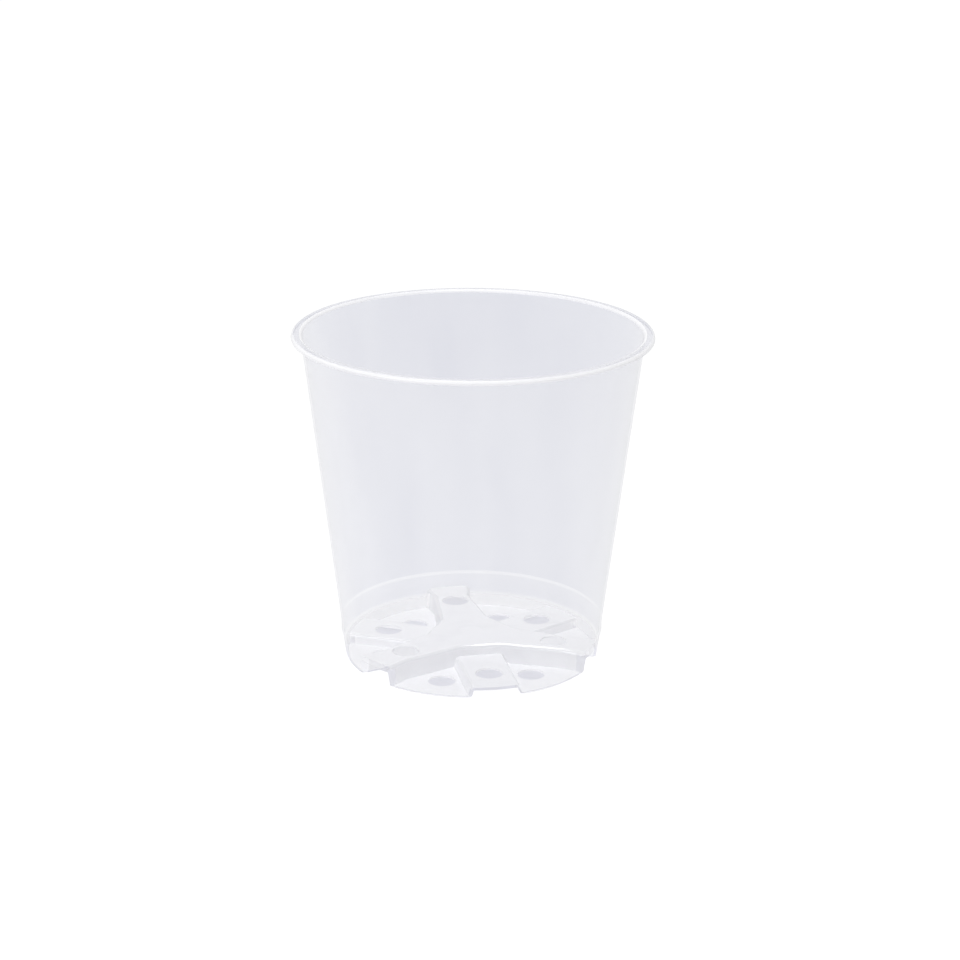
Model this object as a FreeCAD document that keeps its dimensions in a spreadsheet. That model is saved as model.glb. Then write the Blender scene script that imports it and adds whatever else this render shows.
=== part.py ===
import FreeCAD, Part
import math
import os
import re
import Sketcher

# A plant nursery pot, 12 cm class: one thin moulded skin of clear polypropylene.
# Millimetres. Z is the pot's axis, the ground is z = 0, and one pair of feet faces -Y.
#
# The pot is the space between two solid forms, as in its mould: the cavity gives
# the outside and the underside, the core gives the inside. The core takes its
# outlines from the cavity's own sketches, moved out by the skin.

doc = FreeCAD.newDocument("NurseryPot")

# Sizes

sheet = doc.addObject("Spreadsheet::Sheet", "Sizes")
sizes = [
    ("skin", 0.7, "thickness of the moulded wall and floor"),
    ("potHeight", 113.3, "ground to the top of the rim"),
    ("rimRadius", 60.0, "outside of the rolled rim"),
    ("lipDrop", 1.6, "height of the rim's turned-down edge"),
    ("wallRadius", 57.0, "outside of the wall, carried up to the rim's top"),
    ("baseRadius", 42.8, "outside of the wall at the ground"),
    ("shoulderOut", 1.6, "how much wider the wall is above the stacking shoulder"),
    ("shoulderStep", 0.45, "how far the shoulder stands out"),
    ("shoulderLow", 8.4, "height where the shoulder starts"),
    ("shoulderHigh", 9.6, "height where the shoulder is full"),
    ("landTop", 12.5, "height where the straight land ends"),
    ("plateau", 7.5, "top of the raised centre and arms"),
    ("bridgeTop", 3.9, "top of the low bridge between two feet"),
    ("bridgeHalf", 8.4, "half width under the low bridge, at the ground"),
    ("draft", 4.0, "draft of the raised centre's sides, in degrees"),
    ("bridgeDraft", 16.0, "draft of the low bridge's sides, in degrees"),
    ("notchTop", 5.5, "height of the arch in the wall at each arm"),
    ("rootOut", 12.8, "arm root, along the arm"),
    ("rootSide", 8.2, "arm root, half width"),
    ("waistOut", 34.4, "narrowest place, along the arm"),
    ("waistSide", 5.9, "narrowest place, half width"),
    ("endPast", 2.6, "how far an arm's outline runs on past the wall"),
    ("endSide", 8.3, "half width of an arm's outline there"),
    ("hemInset", 0.05, "how far the hem across an arm stands back from the wall"),
    ("holeRadius", 4.5, "drain holes"),
    ("holeCircle", 30.3, "circle of the holes in the feet and bridges"),
    ("armHoleCircle", 29.3, "circle of the holes in the arms"),
    ("footRound", 1.5, "rounding under the feet"),
    ("topRound", 1.6, "rounding of the raised centre's upper edges"),
    ("bridgeRound", 1.2, "rounding of the low bridge's upper edges"),
    ("rimRound", 1.2, "rounding of the rim's outer edge"),
    ("throatRound", 1.4, "rounding where the wall turns into the rim"),
]
for row, (name, amount, meaning) in enumerate(sizes, start=1):
    sheet.set(f"A{row}", meaning)
    sheet.set(f"B{row}", str(amount))
    sheet.setAlias(f"B{row}", name)
doc.recompute()

armAngles = (90, 210, 330)
roundFlats = 3
near = 0.01
gramsPerCubicMm = 0.0009
words = re.compile("|".join(rf"\b{name}\b" for name, _, _ in sizes))


def number(text):
    return float(sheet.evalExpression(text))


def linked(text):
    return words.sub(lambda found: "Sizes." + found.group(0), text)


def originItem(body, role):
    for item in body.Origin.OriginFeatures:
        if item.Role == role:
            return item


def sketchOn(body, role, name):
    sketch = body.newObject("Sketcher::SketchObject", name)
    sketch.AttachmentSupport = [(originItem(body, role), "")]
    sketch.MapMode = "FlatFace"
    return sketch


def tie(sketch, kind, line, text):
    index = sketch.addConstraint(Sketcher.Constraint(kind, -1, 1, line, 1, number(text)))
    sketch.setExpression(f"Constraints[{index}]", linked(text))


def outline(sketch, corners):
    # each corner is a pair of formulas in the sheet's names
    places = [FreeCAD.Vector(number(x), number(y), 0) for x, y in corners]
    count = len(places)
    for i in range(count):
        sketch.addGeometry(Part.LineSegment(places[i], places[(i + 1) % count]), False)
    for i in range(count):
        sketch.addConstraint(Sketcher.Constraint("Coincident", i, 2, (i + 1) % count, 1))
    for i, (x, y) in enumerate(corners):
        tie(sketch, "DistanceX", i, x)
        tie(sketch, "DistanceY", i, y)


def turned(along, side, angle):
    # a place beside an arm, as x and y formulas
    x = f"({along}) * cos({angle} deg) - ({side}) * sin({angle} deg)"
    y = f"({along}) * sin({angle} deg) + ({side}) * cos({angle} deg)"
    return x, y


def eased(x, z, radius, first, last):
    # a rounding that runs right round the pot, as short flats 0.05 mm from the true arc
    places = []
    for step in range(roundFlats + 1):
        lean = first + (last - first) * step / roundFlats
        places.append((f"{x} + {radius} * cos({lean} deg)", f"{z} + {radius} * sin({lean} deg)"))
    return places


def spun(body, sketch, name):
    form = body.newObject("PartDesign::Revolution", name)
    form.Profile = sketch
    form.ReferenceAxis = (sketch, ["V_Axis"])
    form.Angle = 360
    return form


def sunk(body, profile, name, depth):
    # a straight pocket cut upwards from the ground
    cut = body.newObject("PartDesign::Pocket", name)
    cut.Profile = profile
    cut.Reversed = True
    cut.setExpression("Length", linked(depth))
    return cut


def block(body, profile, name, height, draft):
    # a mould insert standing on the ground, narrower at its top
    pad = body.newObject("PartDesign::Pad", name)
    pad.Profile = profile
    pad.setExpression("Length", linked(height))
    doc.recompute()
    faces = enumerate(pad.Shape.Faces, start=1)
    sides = [f"Face{i}" for i, face in faces if abs(face.normalAt(0, 0).z) < near]
    lean = body.newObject("PartDesign::Draft", f"{name}Draft")
    lean.Base = (pad, sides)
    lean.NeutralPlane = (originItem(body, "XY_Plane"), [""])
    lean.setExpression("Angle", linked(draft))
    return lean


def without(body, name, inserts):
    cut = body.newObject("PartDesign::Boolean", name)
    cut.Type = "Cut"
    cut.setObjects(inserts)
    body.Tip = cut
    return cut


def around(body, feature, name, count):
    ring = body.newObject("PartDesign::PolarPattern", name)
    ring.Originals = [feature]
    ring.Axis = (originItem(body, "Z_Axis"), [""])
    ring.Angle = 360
    ring.Occurrences = count
    body.Tip = ring
    return ring


def rounded(body, feature, name, radius, test):
    doc.recompute()
    edges = enumerate(feature.Shape.Edges, start=1)
    fillet = body.newObject("PartDesign::Fillet", name)
    fillet.Base = (feature, [f"Edge{i}" for i, edge in edges if test(edge)])
    fillet.setExpression("Radius", linked(radius))
    return fillet


def at(edge, level):
    # whether the whole edge lies at one height
    box = edge.BoundBox
    return abs(box.ZMin - number(level)) < near and abs(box.ZMax - number(level)) < near


def soleEdge(edge):
    return at(edge, "0")


def clearOfWall(edge):
    middle = edge.CenterOfMass
    return math.hypot(middle.x, middle.y) < number("baseRadius - skin * 2")


def ceilingEdge(edge):
    return at(edge, "plateau - skin") and clearOfWall(edge)


def plateauEdge(edge):
    return at(edge, "plateau") and clearOfWall(edge)


def bridgeEdge(edge):
    # the straight edges of a bridge's top, which run out to the wall
    straight = edge.Curve.TypeId == "Part::GeomLine"
    farEnd = max(math.hypot(end.X, end.Y) for end in edge.Vertexes)
    return at(edge, "bridgeTop") and straight and farEnd > number("baseRadius - skin * 2")


def moved(body, sketch, name):
    # the same outline for the core, moved out by the skin
    copy = body.newObject("PartDesign::SubShapeBinder", name)
    copy.Support = [(sketch, ("",))]
    copy.Relative = False
    copy.OffsetJoinType = "Intersection"
    copy.setExpression("Offset", linked("skin"))
    return copy


# Inserts under the floor: the star under the raised centre, and the low bridges

starInsert = doc.addObject("PartDesign::Body", "StarInsert")
star = sketchOn(starInsert, "XY_Plane", "StarOutline")
shoulder = "(baseRadius + shoulderOut)"
armEnd = f"{shoulder} + endPast"
armSide = [
    ("rootOut", "rootSide"),
    ("waistOut", "waistSide"),
    (armEnd, "endSide"),
]
starCorners = []
for angle in armAngles:
    starCorners += [turned(along, f"-{across}", angle) for along, across in armSide]
    starCorners += [turned(along, across, angle) for along, across in reversed(armSide)]
outline(star, starCorners)
block(starInsert, star, "StarBlock", "plateau - skin", "draft")

bridgeInsert = doc.addObject("PartDesign::Body", "BridgeInsert")
bridge = sketchOn(bridgeInsert, "XY_Plane", "BridgeOutline")
bridgeCorners = []
for angle in armAngles:
    across = angle + 180
    bridgeCorners.append(turned("bridgeHalf / tan(60 deg)", "-bridgeHalf", across))
    bridgeCorners.append(turned(armEnd, "-bridgeHalf", across))
    bridgeCorners.append(turned(armEnd, "bridgeHalf", across))
outline(bridge, bridgeCorners)
block(bridgeInsert, bridge, "BridgeBlock", "bridgeTop - skin", "bridgeDraft")

# The same two forms as they show inside the pot, larger by the skin

starInside = doc.addObject("PartDesign::Body", "StarInside")
block(starInside, moved(starInside, star, "StarGrown"), "StarTop", "plateau", "draft")
bridgeInside = doc.addObject("PartDesign::Body", "BridgeInside")
block(bridgeInside, moved(bridgeInside, bridge, "BridgeGrown"), "BridgeTop", "bridgeTop", "bridgeDraft")

# Cavity: the outside of the wall, and everything under the floor

pot = doc.addObject("PartDesign::Body", "nursery_pot")
pot.Label = "nursery_pot"
wallSlope = f"(wallRadius - {shoulder}) / (potHeight - landTop)"
underFlange = f"wallRadius - {wallSlope} * skin"
wallOutside = sketchOn(pot, "YZ_Plane", "WallOutside")
outline(wallOutside, [
    ("0", "0"),
    ("baseRadius", "0"),
    (f"{shoulder} - shoulderStep", "shoulderLow"),
    (shoulder, "shoulderHigh"),
    (shoulder, "landTop"),
    (underFlange, "potHeight - skin"),
    ("rimRadius - skin", "potHeight - skin"),
    ("rimRadius - skin", "potHeight - lipDrop"),
    ("rimRadius", "potHeight - lipDrop"),
    *eased("rimRadius - rimRound", "potHeight - rimRound", "rimRound", 0, 90),
    ("0", "potHeight"),
])
spun(pot, wallOutside, "OutsideForm")
underside = without(pot, "Underside", [starInsert, bridgeInsert])
footSoles = rounded(pot, underside, "FootSoles", "footRound", soleEdge)
rounded(pot, footSoles, "StarCeiling", "topRound - skin", ceilingEdge)

# the wall hangs a little below the floor where an arm meets it
hem = sketchOn(pot, "YZ_Plane", "Hem")
lowRise = "(shoulderOut - shoulderStep) / shoulderLow"
outline(hem, [
    (f"baseRadius - skin + {lowRise} * notchTop", "notchTop"),
    (f"baseRadius - hemInset + {lowRise} * notchTop", "notchTop"),
    (f"baseRadius - hemInset + {lowRise} * plateau", "plateau"),
    (f"baseRadius - skin + {lowRise} * plateau", "plateau"),
])
spun(pot, hem, "HemRing")

# Core: the inside of the wall, and the top of the floor

core = doc.addObject("PartDesign::Body", "Core")
mouth = f"wallRadius - skin + (1 - {wallSlope}) * throatRound"
wallInside = sketchOn(core, "YZ_Plane", "WallInside")
outline(wallInside, [
    ("0", "skin"),
    ("baseRadius - skin", "skin"),
    (f"{shoulder} - shoulderStep - skin", "shoulderLow"),
    (f"{shoulder} - skin", "shoulderHigh"),
    (f"{shoulder} - skin", "landTop"),
    *eased(mouth, "potHeight - throatRound", "throatRound", 180, 90),
    (mouth, "potHeight + skin"),
    ("0", "potHeight + skin"),
])
spun(core, wallInside, "InsideForm")
floor = without(core, "Floor", [starInside, bridgeInside])
starRound = rounded(core, floor, "StarRound", "topRound", plateauEdge)
rounded(core, starRound, "BridgeRound", "bridgeRound", bridgeEdge)

# The skin between them

without(pot, "Moulded", [core])
doc.recompute()


def drain(name, circle, angle, count):
    sketch = sketchOn(pot, "XY_Plane", name)
    x, y = turned(circle, "0", angle)
    place = FreeCAD.Vector(number(x), number(y), 0)
    sketch.addGeometry(Part.Circle(place, FreeCAD.Vector(0, 0, 1), number("holeRadius")), False)
    for kind, text in (("DistanceX", x), ("DistanceY", y)):
        index = sketch.addConstraint(Sketcher.Constraint(kind, -1, 1, 0, 3, number(text)))
        sketch.setExpression(f"Constraints[{index}]", linked(text))
    index = sketch.addConstraint(Sketcher.Constraint("Radius", 0, number("holeRadius")))
    sketch.setExpression(f"Constraints[{index}]", linked("holeRadius"))
    hole = sunk(pot, sketch, f"{name}Cut", "plateau + skin")
    return around(pot, hole, f"{name}Ring", count)


# feet lie at 30 degrees either side of a bridge, so all six are evenly spaced
drain("FootHole", "holeCircle", 0, 2 * len(armAngles))
drain("BridgeHole", "holeCircle", armAngles[0] + 180, len(armAngles))
drain("ArmHole", "armHoleCircle", armAngles[0], len(armAngles))
doc.recompute()

# Checks and export

for item in doc.Objects:
    if "Invalid" in item.State or "Error" in item.State:
        raise RuntimeError(f"{item.Name}: {item.State}")
shape = pot.Shape
if shape.isNull() or not shape.isValid() or len(shape.Solids) != 1:
    raise RuntimeError("the pot isn't one valid solid")
print(f"{shape.Volume:.0f} cubic mm, {shape.Volume * gramsPerCubicMm:.1f} g")

os.makedirs("parts", exist_ok=True)
shape.exportStep("parts/nursery_pot.step")
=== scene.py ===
import math

import bpy
from mathutils import Matrix, Vector


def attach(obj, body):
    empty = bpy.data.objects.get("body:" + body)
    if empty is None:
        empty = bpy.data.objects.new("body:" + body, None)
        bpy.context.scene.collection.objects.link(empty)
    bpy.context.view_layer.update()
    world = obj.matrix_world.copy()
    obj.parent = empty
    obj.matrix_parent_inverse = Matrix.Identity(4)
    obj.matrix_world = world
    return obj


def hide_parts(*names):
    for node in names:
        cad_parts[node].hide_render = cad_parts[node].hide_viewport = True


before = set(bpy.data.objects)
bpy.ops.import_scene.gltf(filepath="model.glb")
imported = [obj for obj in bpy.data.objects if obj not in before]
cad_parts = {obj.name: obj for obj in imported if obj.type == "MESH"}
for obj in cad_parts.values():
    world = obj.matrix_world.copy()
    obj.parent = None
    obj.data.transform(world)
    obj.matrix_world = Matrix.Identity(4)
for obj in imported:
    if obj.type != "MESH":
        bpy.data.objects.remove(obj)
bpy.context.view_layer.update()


def srgb(code):
    parts = [int(code[i:i + 2], 16) / 255 for i in (0, 2, 4)]
    return [c / 12.92 if c <= 0.04045 else ((c + 0.055) / 1.055) ** 2.4 for c in parts] + [1]


def node(tree, kind, settings=None, **links):
    made = tree.nodes.new(kind)
    for name, value in (settings or {}).items():
        if hasattr(made, name) and not name[0].isupper():
            setattr(made, name, value)
        else:
            made.inputs[name].default_value = value
    for name, source in links.items():
        tree.links.new(source, made.inputs[name.replace("_", " ")])
    return made


def material(name):
    made = bpy.data.materials.new(name)
    made.use_nodes = True
    made.node_tree.nodes.clear()
    return made, made.node_tree


def sums(tree, kind, operation, values):
    # numbers are set and sockets are linked, in the order that the node shows them
    made = node(tree, kind, {"operation": operation})
    for socket, value in zip([one for one in made.inputs if one.enabled], values):
        if isinstance(value, bpy.types.NodeSocket):
            tree.links.new(value, socket)
        else:
            socket.default_value = value
    return next(one for one in made.outputs if one.enabled)


def maths(tree, operation, *values):
    return sums(tree, "ShaderNodeMath", operation, values)


def vectors(tree, operation, *values):
    return sums(tree, "ShaderNodeVectorMath", operation, values)


def ramp(tree, value, low, high, start, end):
    ends = {"From Min": low, "From Max": high, "To Min": start, "To Max": end}
    return node(tree, "ShaderNodeMapRange", ends, Value=value).outputs[0]


def between(tree, value, low, high):
    above = maths(tree, "GREATER_THAN", value, low)
    return maths(tree, "MULTIPLY", above, maths(tree, "LESS_THAN", value, high))


def less(tree, share, lost):
    # what is left of a share when another share of it goes
    return maths(tree, "MULTIPLY", share, maths(tree, "SUBTRACT", 1.0, lost))


def mixed(tree, share, first, second):
    # the first shader, giving way to the second as the share goes to one
    made = node(tree, "ShaderNodeMixShader")
    for socket, source in zip(made.inputs, (share, first, second)):
        tree.links.new(source, socket)
    return made.outputs[0]


def byAngle(tree, most, power):
    # nothing where a face is seen square on, most where it turns away
    facing = node(tree, "ShaderNodeLayerWeight", {"Blend": 0.5}).outputs["Facing"]
    return maths(tree, "MULTIPLY", maths(tree, "POWER", facing, power), most)


# Material: clear polypropylene, injection moulded

faces = {
    "level": 0.9,  # a face lies level where its normal rises or falls more than this
    "upright": 0.35,  # and stands where it rises or falls less than this
    "rounding": 0.95,  # from upright to here it is a rounding
    "across": 0.5,  # it looks out of the pot, or into it, where its normal points so more than this
    "cornerFrom": 0.3,  # an upright corner of the wall points outward between these
    "cornerTo": 0.93,
}

plastic = {
    "veil": "E0E1E8",  # what the outer face of the wall lets through from inside the pot
    "floorVeil": 0.25,  # share of that veil under the floor
    "veilAtEdge": 0.65,  # share of it that goes again where the wall turns away
    "veilPower": 2.0,
    "milk": "FAFAFC",  # the haze's colour
    "most": 0.95,  # no haze is thicker
    "wallMost": 0.235,  # the wall stays see-through even where it turns away
    "haze": 0.01,  # on every face
    "hazeAtEdge": 0.6,  # more where the wall turns away
    "edgePower": 3.0,
    "frost": 0.12,  # more haze on the outer face of the wall
    "paintedFloorBounce": 0.02,  # and more again towards the ground, painted light bounced from the floor
    "lowHeight": 0.035,
    "paintedLightOnTop": 0.93,  # more haze on what faces up, painted light from above
    "litEdge": 0.9,  # more haze on the roundings, which gather light
    "flank": 0.88,  # haze on the steep sides of the floor's star
    "lowInside": 0.3,  # haze on the wall's inner face below footHigh
    "gate": 0.08,  # haze of the round mark of the mould's gate
    "gateRadius": 0.0038,
    "wall": 0.0405,  # from here outwards it is wall, in metres
    "footLow": 0.0045,  # the veil ends where the painted shadow on the ground begins behind it
    "footHigh": 0.0058,
    "crease": 0.35,  # share of the veil lost in a thin line where the land meets the wall
    "creaseLow": 0.0119,
    "creaseHigh": 0.0131,
    "baseClear": 0.1,  # share of the veil lost between the feet's height and that line
    "rim": 0.1095,  # from this height it is the rolled rim
    "rimInner": 0.0573,  # inside this radius it is the lip of the rim
    "rimVeil": 0.3,  # veil on the faces of the roll that don't look outward
    "rimClear": 0.5,  # share of their haze lost
    "rimOutline": 2.2,  # more veil where the roll turns away
    "outlinePower": 6.0,
    "rimFrost": 0.6,  # haze on the faces of the roll that look outward
    "lightPasses": 1.0,  # share of veil and haze that light from outside gets past
    "cloud": 0.25,  # how far the haze varies up and down
    "cloudVeil": 0.16,
    "cloudSize": 0.016,  # metres across one cloud
    "cloudTall": 4.0,  # and how many times that up the wall
    "cloudDetail": 3.0,
    "shine": 0.03,
    "shineAtEdge": 0.4,
    "shinePower": 5.0,
    "litShine": 0.18,  # more shine on the roundings
    "roughness": 0.22,
    "roughSpread": 0.07,
}


def whereabouts(tree):
    # where on the pot a point lies and which way its face looks, mostly as masks of nought or one
    at = {}
    geometry = node(tree, "ShaderNodeNewGeometry")
    at["behind"] = geometry.outputs["Backfacing"]
    at["front"] = maths(tree, "SUBTRACT", 1.0, at["behind"])
    flip = maths(tree, "MULTIPLY_ADD", at["behind"], -2.0, 1.0)
    own = vectors(tree, "SCALE", geometry.outputs["Normal"], flip)
    at["place"] = node(tree, "ShaderNodeTexCoord").outputs["Object"]
    at["height"] = node(tree, "ShaderNodeSeparateXYZ", Vector=at["place"]).outputs["Z"]
    level = vectors(tree, "MULTIPLY", at["place"], (1, 1, 0))
    at["reach"] = vectors(tree, "LENGTH", level)
    rise = node(tree, "ShaderNodeSeparateXYZ", Vector=own).outputs["Z"]
    turned = vectors(tree, "DOT_PRODUCT", vectors(tree, "NORMALIZE", level), own)

    wall = maths(tree, "GREATER_THAN", at["reach"], plastic["wall"])
    at["outside"] = maths(tree, "MULTIPLY", wall, maths(tree, "GREATER_THAN", turned, faces["across"]))
    at["inside"] = maths(tree, "MULTIPLY", wall, maths(tree, "LESS_THAN", turned, -faces["across"]))
    at["above"] = maths(tree, "GREATER_THAN", rise, faces["level"])
    at["under"] = maths(tree, "LESS_THAN", rise, -faces["level"])
    corner = between(tree, maths(tree, "ABSOLUTE", turned), faces["cornerFrom"], faces["cornerTo"])
    corner = maths(tree, "MULTIPLY", corner, wall)
    at["edge"] = maths(tree, "MAXIMUM", between(tree, rise, faces["upright"], faces["rounding"]), corner)
    at["hem"] = maths(tree, "MULTIPLY", between(tree, rise, -faces["rounding"], -faces["upright"]), wall)
    at["flank"] = less(tree, between(tree, rise, -faces["upright"], faces["upright"]), wall)

    at["aboveFoot"] = ramp(tree, at["height"], plastic["footLow"], plastic["footHigh"], 0.0, 1.0)
    at["rim"] = maths(tree, "GREATER_THAN", at["height"], plastic["rim"])
    lip = maths(tree, "MULTIPLY", at["rim"], maths(tree, "LESS_THAN", at["reach"], plastic["rimInner"]))
    at["roll"] = maths(tree, "SUBTRACT", at["rim"], lip)
    at["aside"] = less(tree, at["roll"], at["outside"])
    at["facing"] = maths(tree, "MULTIPLY", at["roll"], at["outside"])
    return at


def flowMarks(tree, place):
    # clouds drawn out up the wall, as much above nought as below
    tall = (1, 1, 1 / plastic["cloudTall"])
    stretch = node(tree, "ShaderNodeMapping", {"Scale": tall}, Vector=place).outputs[0]
    settings = {"Scale": 1 / plastic["cloudSize"], "Detail": plastic["cloudDetail"]}
    cloud = node(tree, "ShaderNodeTexNoise", settings, Vector=stretch).outputs["Fac"]
    return maths(tree, "SUBTRACT", cloud, 0.5)


def veilShare(tree, at, spread):
    share = maths(tree, "MULTIPLY_ADD", at["under"], plastic["floorVeil"], at["outside"])
    share = maths(tree, "MULTIPLY", share, at["behind"])
    share = maths(tree, "MULTIPLY", share, maths(tree, "MAXIMUM", at["aboveFoot"], at["under"]))
    varied = maths(tree, "MULTIPLY_ADD", spread, plastic["cloudVeil"] * 2, 1.0)
    share = maths(tree, "MULTIPLY", share, varied)
    crease = between(tree, at["height"], plastic["creaseLow"], plastic["creaseHigh"])
    share = less(tree, share, maths(tree, "MULTIPLY", crease, plastic["crease"]))
    base = between(tree, at["height"], plastic["footLow"], plastic["creaseLow"])
    share = less(tree, share, maths(tree, "MULTIPLY", base, plastic["baseClear"]))
    share = less(tree, share, byAngle(tree, plastic["veilAtEdge"], plastic["veilPower"]))
    share = maths(tree, "MULTIPLY_ADD", at["aside"], plastic["rimVeil"], share)
    outline = byAngle(tree, plastic["rimOutline"], plastic["outlinePower"])
    return maths(tree, "MULTIPLY_ADD", at["roll"], outline, share)


def hazeAmount(tree, at, spread):
    # painted light: the outer wall's haze grows towards the ground, as if lit by the floor
    low = ramp(tree, at["height"], 0.0, plastic["lowHeight"], 1.0, 0.0)
    frost = maths(tree, "MULTIPLY_ADD", low, plastic["paintedFloorBounce"], plastic["frost"])
    amount = maths(tree, "MULTIPLY", at["outside"], frost)
    centre = maths(tree, "LESS_THAN", at["reach"], plastic["gateRadius"])
    gate = maths(tree, "MULTIPLY", centre, at["above"])
    inside = less(tree, at["inside"], at["aboveFoot"])
    masks = {
        # painted light: faces that look up are made milkier, as if lit from above
        "paintedLightOnTop": at["above"],
        "gate": gate,
        "litEdge": at["edge"],
        "flank": at["flank"],
        "lowInside": inside,
    }
    for name, where in masks.items():
        amount = maths(tree, "MULTIPLY_ADD", where, plastic[name], amount)
    varied = maths(tree, "MULTIPLY_ADD", spread, plastic["cloud"] * 2, 1.0)
    amount = maths(tree, "MULTIPLY", amount, varied)
    turning = byAngle(tree, plastic["hazeAtEdge"], plastic["edgePower"])
    amount = maths(tree, "MULTIPLY_ADD", turning, at["outside"], amount)
    amount = less(tree, amount, maths(tree, "MULTIPLY", at["aside"], plastic["rimClear"]))
    amount = maths(tree, "MULTIPLY_ADD", at["facing"], plastic["rimFrost"], amount)
    amount = maths(tree, "MULTIPLY_ADD", at["hem"], plastic["litEdge"], amount)
    amount = maths(tree, "MULTIPLY_ADD", amount, at["front"], plastic["haze"])
    plain = less(tree, maths(tree, "SUBTRACT", at["outside"], at["facing"]), at["hem"])
    most = maths(tree, "MULTIPLY_ADD", plain, plastic["wallMost"] - plastic["most"], plastic["most"])
    return maths(tree, "MINIMUM", amount, most)


def shineShare(tree, at):
    glint = byAngle(tree, plastic["shineAtEdge"], plastic["shinePower"])
    glint = maths(tree, "ADD", glint, plastic["shine"])
    glint = maths(tree, "MULTIPLY_ADD", less(tree, at["edge"], at["rim"]), plastic["litShine"], glint)
    return maths(tree, "MULTIPLY", glint, at["front"])


def clearPolypropylene():
    # a pale veil over what lies behind, frosted outside, whiter where the skin turns away
    made, tree = material("clearPolypropylene")
    at = whereabouts(tree)
    spread = flowMarks(tree, at["place"])
    shadow = node(tree, "ShaderNodeLightPath").outputs["Is Shadow Ray"]
    kept = maths(tree, "MULTIPLY_ADD", shadow, -plastic["lightPasses"], 1.0)

    lost = [1 - c for c in srgb(plastic["veil"])[:3]]
    dimmed = vectors(tree, "SCALE", lost, maths(tree, "MULTIPLY", veilShare(tree, at, spread), kept))
    tint = vectors(tree, "SUBTRACT", (1, 1, 1), dimmed)
    clear = node(tree, "ShaderNodeBsdfTransparent", Color=tint).outputs[0]

    milky = node(tree, "ShaderNodeBsdfDiffuse", {"Color": srgb(plastic["milk"])}).outputs[0]
    glowing = node(tree, "ShaderNodeBsdfTranslucent", {"Color": srgb(plastic["milk"])}).outputs[0]
    milk = mixed(tree, at["hem"], milky, glowing)
    body = mixed(tree, maths(tree, "MULTIPLY", hazeAmount(tree, at, spread), kept), clear, milk)

    rough = maths(tree, "MULTIPLY_ADD", spread, plastic["roughSpread"] * 2, plastic["roughness"])
    gloss = node(tree, "ShaderNodeBsdfGlossy", Roughness=rough).outputs[0]
    node(tree, "ShaderNodeOutputMaterial", Surface=mixed(tree, shineShare(tree, at), body, gloss))
    return made


# The pot: the solid's own skin, with its edges eased as a mould leaves them

moulding = {
    "weld": 0.000002,
    "crumb": 0.00005,
    "flat": 0.5,  # degrees between faces that are joined into one
    "ease": 0.00016,
    "steps": 2,
    "sharp": 40,  # degrees from which an edge is eased
    "flatFirst": 80,  # how far the shading follows the larger faces
}


def easedPot():
    made = bpy.data.objects.new("pot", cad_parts["nursery_pot"].data.copy())
    bpy.context.scene.collection.objects.link(made)
    bpy.ops.object.select_all(action="DESELECT")
    bpy.context.view_layer.objects.active = made
    made.select_set(True)
    bpy.ops.object.mode_set(mode="EDIT")
    bpy.ops.mesh.select_all(action="SELECT")
    bpy.ops.mesh.remove_doubles(threshold=moulding["weld"])
    bpy.ops.mesh.dissolve_degenerate(threshold=moulding["crumb"])
    bpy.ops.mesh.select_all(action="SELECT")
    bpy.ops.mesh.dissolve_limited(angle_limit=math.radians(moulding["flat"]))
    bpy.ops.mesh.select_all(action="SELECT")
    bpy.ops.mesh.dissolve_degenerate(threshold=moulding["crumb"])
    bpy.ops.object.mode_set(mode="OBJECT")
    edges = made.modifiers.new("edges", "BEVEL")
    edges.width = moulding["ease"]
    edges.segments = moulding["steps"]
    edges.limit_method = "ANGLE"
    edges.angle_limit = math.radians(moulding["sharp"])
    edges.use_clamp_overlap = False
    bpy.ops.object.modifier_apply(modifier="edges")
    bpy.ops.object.shade_smooth()
    shading = made.modifiers.new("shading", "WEIGHTED_NORMAL")
    shading.weight = moulding["flatFirst"]
    bpy.ops.object.modifier_apply(modifier="shading")
    made.data.materials.clear()
    made.data.materials.append(clearPolypropylene())
    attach(made, "root")
    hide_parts("nursery_pot")
    return made


pot = easedPot()
print("pot", len(pot.data.vertices), "points", len(pot.data.polygons), "faces")

# Camera, fitted to the photograph's rim and base

view = {
    "lens": 99.2,
    "distance": 0.890,
    "aim": (0, 0, 0.0568),
    "up": 18.48,  # degrees above the ground
    "around": 11.3,  # degrees round from the front, towards the left
    "roll": 0.0053,
    "shiftX": 0.00817,
    "shiftY": 0.0142,
    "farthest": 20,  # metres that the camera sees
}


def fittedCamera():
    up = math.radians(view["up"])
    around = math.radians(view["around"])
    towards = Vector((-math.sin(around) * math.cos(up), -math.cos(around) * math.cos(up), math.sin(up)))
    turn = (-towards).to_track_quat("-Z", "Y").to_matrix().to_4x4() @ Matrix.Rotation(view["roll"], 4, "Z")
    bpy.ops.object.camera_add()
    made = bpy.context.object
    made.matrix_world = Matrix.Translation(Vector(view["aim"]) + towards * view["distance"]) @ turn
    made.data.lens = view["lens"]
    made.data.shift_x = view["shiftX"]
    made.data.shift_y = view["shiftY"]
    made.data.clip_end = view["farthest"]
    bpy.context.scene.camera = made


fittedCamera()
print("camera ready")

# Floor and light

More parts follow.
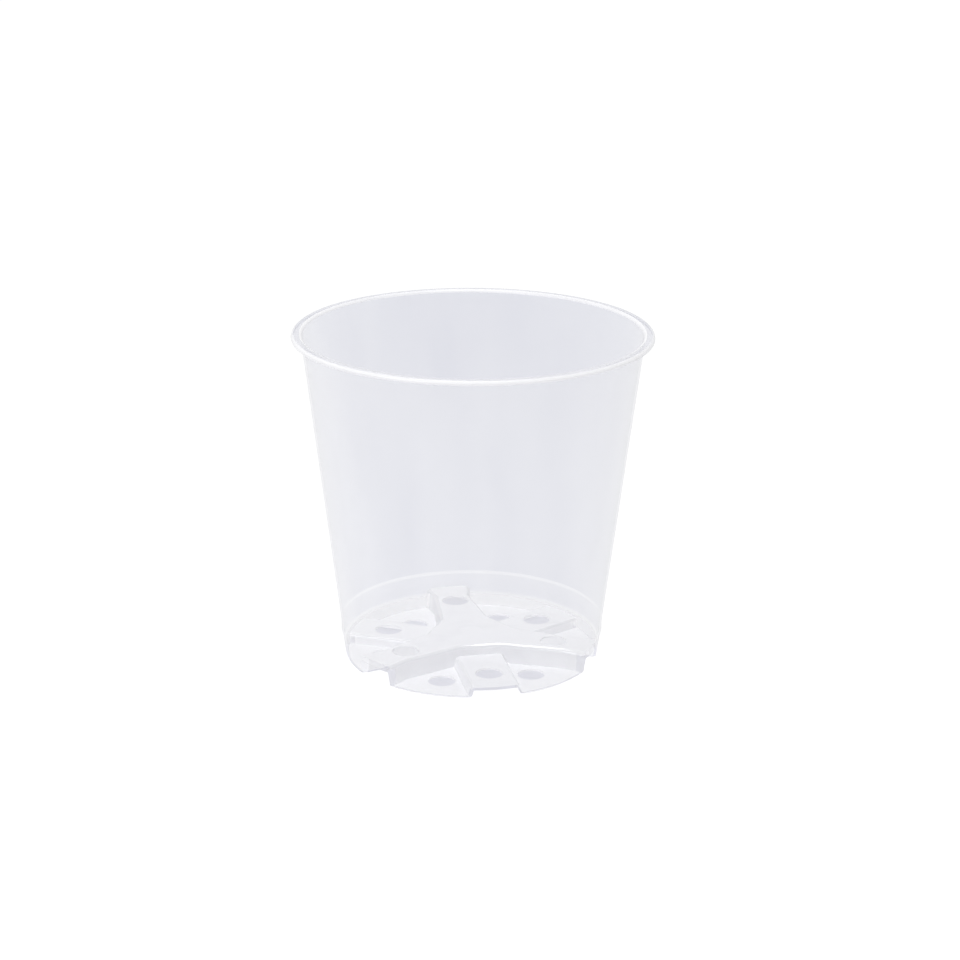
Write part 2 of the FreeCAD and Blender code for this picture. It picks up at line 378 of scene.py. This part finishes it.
studio = {
    "floorSize": 6.0,
    "floor": "F7F7F7",
    "floorDrop": 0.00005,  # so that the sole's face and the floor don't share a plane
    "floorOwn": 0.11,
    "farOwn": 0.3,  # more far away, where the lamps reach less
    "farFrom": 0.4,
    "farTo": 2.2,
    # grey of the painted shadow under the pot, seen only through the plastic
    "paintedShadowGrey": "DCDCE3",
    "underFull": 0.0425,  # radius within which the painted shadow is full
    "underNone": 0.0445,  # and from which it is white
    "underLength": 0.0135,  # the painted shadow is drawn out this far behind the pot
    "pastLess": 0.55,  # share of the painted shadow lost past the base's own edge, behind the far wall
    "someFaces": 0.5,  # past more faces than this, the ground is seen through plastic
    "wallFaces": 2.5,  # and past more than this, through the far wall besides the near one
    "sky": 0.76,
    "skySeen": 1.0,
    "top": (0, 0, 2.4),
    "topSize": 1.3,
    "topPower": 22.0,
    "side": (-1.2, -0.9, 0.8),
    "sideAim": (0, 0, 0.05),
    "sideSize": 0.9,
    "sidePower": 4.0,
    "skinFaces": 48,  # light may pass so many; a line of sight can meet twenty
}


def paintedShadowShare(tree, place, path):
    # painted shadow: the ground under the pot is greyer where it is seen through the plastic and its drain
    # holes
    heading = (math.sin(math.radians(view["around"])), math.cos(math.radians(view["around"])), 0)
    along = vectors(tree, "DOT_PRODUCT", place, heading)
    limits = {"Min": 0.0, "Max": studio["underLength"]}
    along = node(tree, "ShaderNodeClamp", limits, Value=along).outputs[0]
    offset = vectors(tree, "SUBTRACT", place, vectors(tree, "SCALE", heading, along))
    ends = (studio["underFull"], studio["underNone"])
    covered = ramp(tree, vectors(tree, "LENGTH", offset), *ends, 1.0, 0.0)
    past = ramp(tree, vectors(tree, "LENGTH", place), *ends, 0.0, studio["pastLess"])
    depth = path.outputs["Transparent Depth"]
    past = maths(tree, "MULTIPLY", past, maths(tree, "GREATER_THAN", depth, studio["wallFaces"]))
    through = maths(tree, "GREATER_THAN", depth, studio["someFaces"])
    through = maths(tree, "MULTIPLY", through, path.outputs["Is Camera Ray"])
    return maths(tree, "MULTIPLY", less(tree, covered, past), through)


def whiteFloor():
    # matt paper, lit to pure white out to the horizon, that keeps the pot's faint shadow, with a painted
    # shadow under the pot where it is seen through the plastic
    made, tree = material("whitePaper")
    place = node(tree, "ShaderNodeTexCoord").outputs["Object"]
    path = node(tree, "ShaderNodeLightPath")
    reach = vectors(tree, "LENGTH", place)
    far = ramp(tree, reach, studio["farFrom"], studio["farTo"], 0.0, studio["farOwn"])
    strength = maths(tree, "MULTIPLY_ADD", far, path.outputs["Is Camera Ray"], studio["floorOwn"])
    paper = node(tree, "ShaderNodeBsdfDiffuse", {"Color": srgb(studio["floor"])}).outputs[0]
    glow = node(tree, "ShaderNodeEmission", Strength=strength).outputs[0]
    white = node(tree, "ShaderNodeAddShader")
    tree.links.new(paper, white.inputs[0])
    tree.links.new(glow, white.inputs[1])
    # the painted shadow's grey diffuse
    grey = node(tree, "ShaderNodeBsdfDiffuse", {"Color": srgb(studio["paintedShadowGrey"])}).outputs[0]
    ground = mixed(tree, paintedShadowShare(tree, place, path), white.outputs[0], grey)
    node(tree, "ShaderNodeOutputMaterial", Surface=ground)
    bpy.ops.mesh.primitive_plane_add(size=studio["floorSize"], location=(0, 0, -studio["floorDrop"]))
    floor = bpy.context.object
    floor.name = "floor"
    floor.data.materials.append(made)


def lamp(name, place, aim, width, power):
    bpy.ops.object.light_add(type="AREA", location=place)
    made = bpy.context.object
    made.name = name
    made.data.shape = "DISK"
    made.data.size = width
    made.data.energy = power
    made.rotation_euler = (Vector(aim) - Vector(place)).to_track_quat("-Z", "Y").to_euler()


def softSky():
    # white to the eye and in the plastic's shine, a little dimmer as a light
    world = bpy.data.worlds.new("studio")
    bpy.context.scene.world = world
    world.use_nodes = True
    tree = world.node_tree
    tree.nodes.clear()
    path = node(tree, "ShaderNodeLightPath")
    white = path.outputs["Is Camera Ray"]
    for name in ("Is Glossy Ray", "Is Transmission Ray"):
        white = maths(tree, "MAXIMUM", white, path.outputs[name])
    lit = node(tree, "ShaderNodeBackground", {"Strength": studio["sky"]}).outputs[0]
    seen = node(tree, "ShaderNodeBackground", {"Strength": studio["skySeen"]}).outputs[0]
    node(tree, "ShaderNodeOutputWorld", Surface=mixed(tree, white, lit, seen))


whiteFloor()
lamp("overhead", studio["top"], (0, 0, 0), studio["topSize"], studio["topPower"])
lamp("left", studio["side"], studio["sideAim"], studio["sideSize"], studio["sidePower"])
softSky()
print("floor and light ready")

bpy.context.scene.view_settings.view_transform = "Standard"
bpy.context.scene.cycles.transparent_max_bounces = studio["skinFaces"]

print("scene ready")
